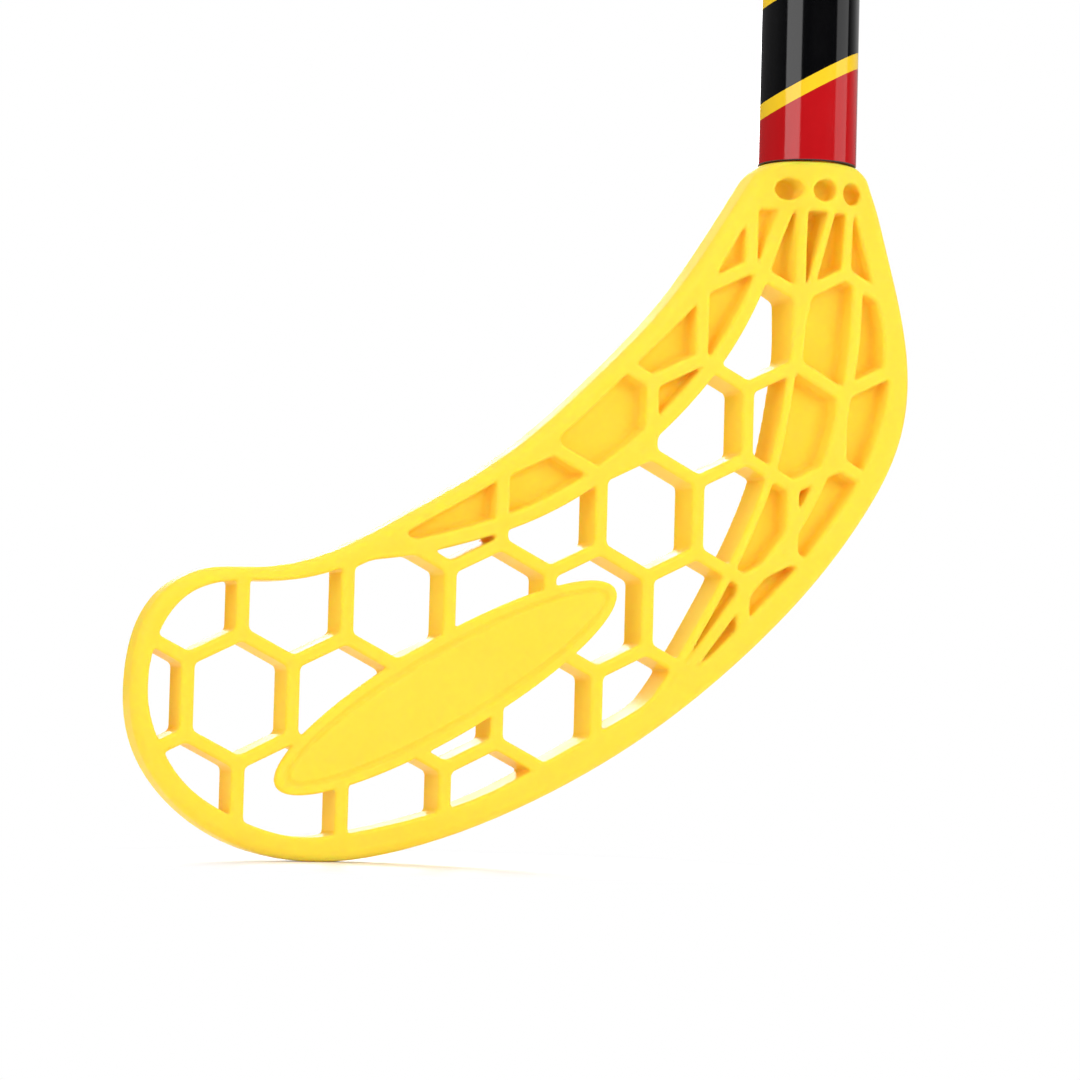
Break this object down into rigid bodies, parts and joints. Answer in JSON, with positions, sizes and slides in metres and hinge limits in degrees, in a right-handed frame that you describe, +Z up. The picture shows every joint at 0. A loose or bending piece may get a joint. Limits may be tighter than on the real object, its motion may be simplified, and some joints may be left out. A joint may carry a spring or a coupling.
{
  "type": "floorball stick",
  "caption": "Floorball stick: a round shaft with a wrapped grip and end cap, and a pull-off blade moulded as an open hexagon lattice inside a curved rim.",
  "frame": {"origin": "on the shaft's axis, at the middle of the grip's length", "axes": "+Z up the shaft towards the end cap, -X towards the blade's toe, -Y out of the face of the blade that carries the oval plate"},
  "size_m": [0.2174, 0.031, 0.9512],
  "materials": {
    "blade_plastic": "soft-gloss moulded yellow plastic",
    "tube_composite": "bare black composite",
    "printed_film": "high-gloss red film with printed stripes",
    "grip_rubber": "matt wrapped grip",
    "band_tape": "satin yellow tape",
    "cap_plastic": "fine-grained black plastic"
  },
  "bodies": {
    "shaft": {"shaft_tube": "tube_composite", "shaft_film": "printed_film", "grip_sleeve": "grip_rubber", "grip_band": "band_tape"},
    "blade": {"blade": "blade_plastic"},
    "cap": {"end_cap": "cap_plastic"}
  },
  "joints": [
    {"name": "blade_pull", "type": "slide", "parent": "shaft", "child": "blade", "axis": [0, 0, -1], "range_m": [0, 0.07]},
    {"name": "end_cap_pull", "type": "slide", "parent": "shaft", "child": "cap", "axis": [0, 0, 1], "range_m": [0, 0.035]}
  ]
}
